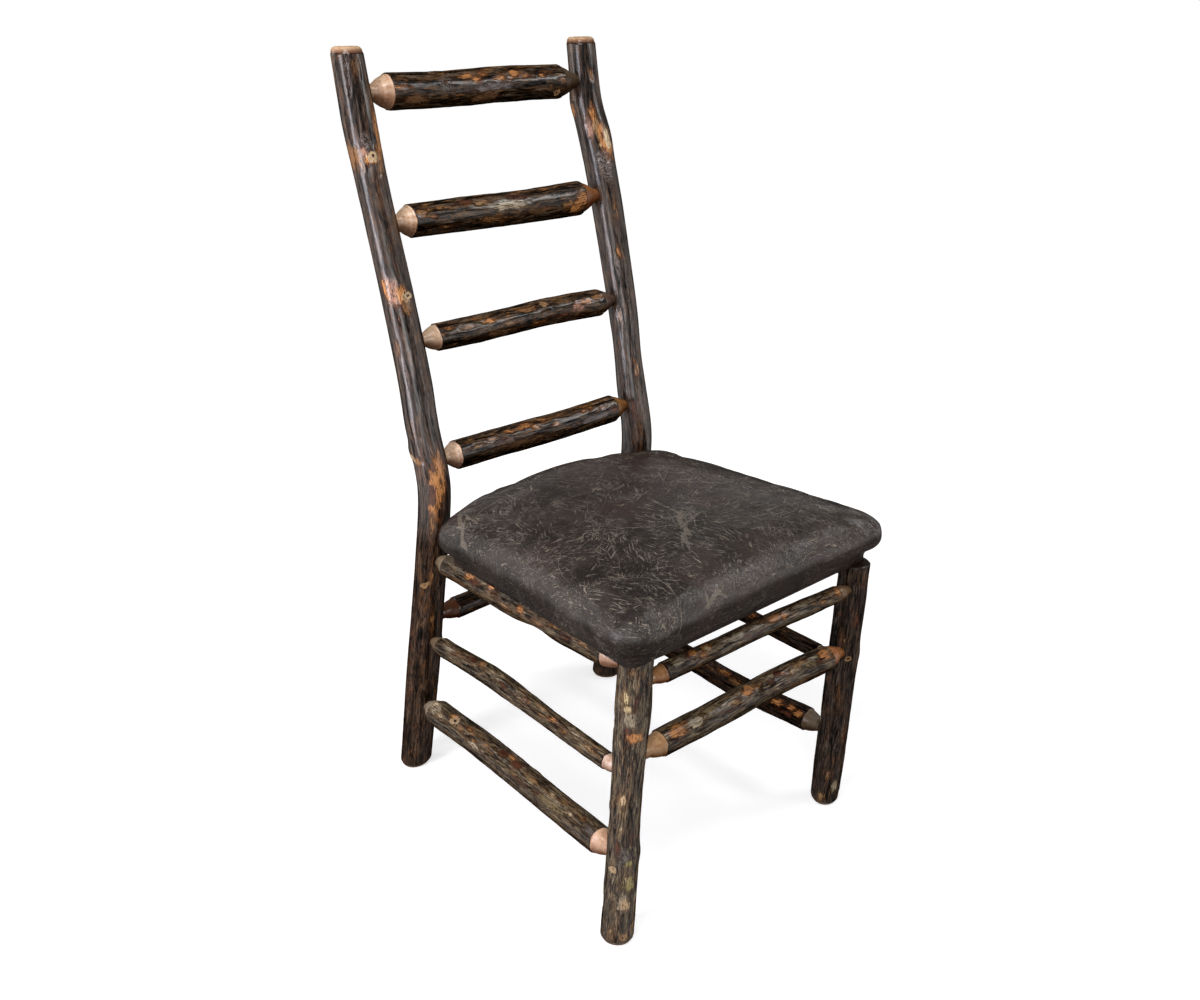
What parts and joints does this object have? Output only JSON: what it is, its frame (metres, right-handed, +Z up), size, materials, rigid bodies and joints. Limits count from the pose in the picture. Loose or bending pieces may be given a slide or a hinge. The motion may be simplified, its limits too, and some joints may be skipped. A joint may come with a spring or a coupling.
{
  "type": "side chair",
  "caption": "Tall side chair of whole bark-covered logs joined by shaved round tenons, with a ladder back, stretchers on all sides and a padded leather seat.",
  "frame": {"origin": "on the floor, in the middle between the front of the seat and the back of the post tops and half way between the left and right feet", "axes": "+Z up, -Y towards the front of the seat, +X towards the sitter's left, which is the right side seen from the front"},
  "size_m": [0.4846, 0.595, 1.077],
  "materials": {
    "varnished_bark": "dark bark under satin varnish, with bare orange patches and pale shaved tenon cones",
    "weathered_bark": "grey-brown flaking bark, nearly matt, with bare patches and pale shaved tenon cones",
    "plywood": "plain sanded plywood",
    "foam": "open-cell foam",
    "leather": "dark brown-grey distressed leather with fine pale creases, satin",
    "black_cloth": "thin black woven dust cloth",
    "zinc_steel": "zinc-plated steel"
  },
  "bodies": {
    "root": {"rear_post_left": "varnished_bark", "rear_post_right": "varnished_bark", "back_rung_top": "varnished_bark", "back_rung_second": "varnished_bark", "back_rung_third": "varnished_bark", "back_rung_lowest": "varnished_bark", "seat_rail_rear": "varnished_bark", "rear_stretcher": "varnished_bark", "front_leg_left": "weathered_bark", "front_leg_right": "weathered_bark", "seat_rail_left": "weathered_bark", "seat_rail_right": "weathered_bark", "seat_rail_front": "weathered_bark", "side_stretcher_upper_left": "weathered_bark", "side_stretcher_upper_right": "weathered_bark", "side_stretcher_lower_left": "weathered_bark", "side_stretcher_lower_right": "weathered_bark", "front_rung_lower": "weathered_bark", "seat_board": "plywood", "seat_foam": "foam", "seat_cover": "leather", "dust_cover": "black_cloth", "seat_screws": "zinc_steel"}
  },
  "joints": []
}
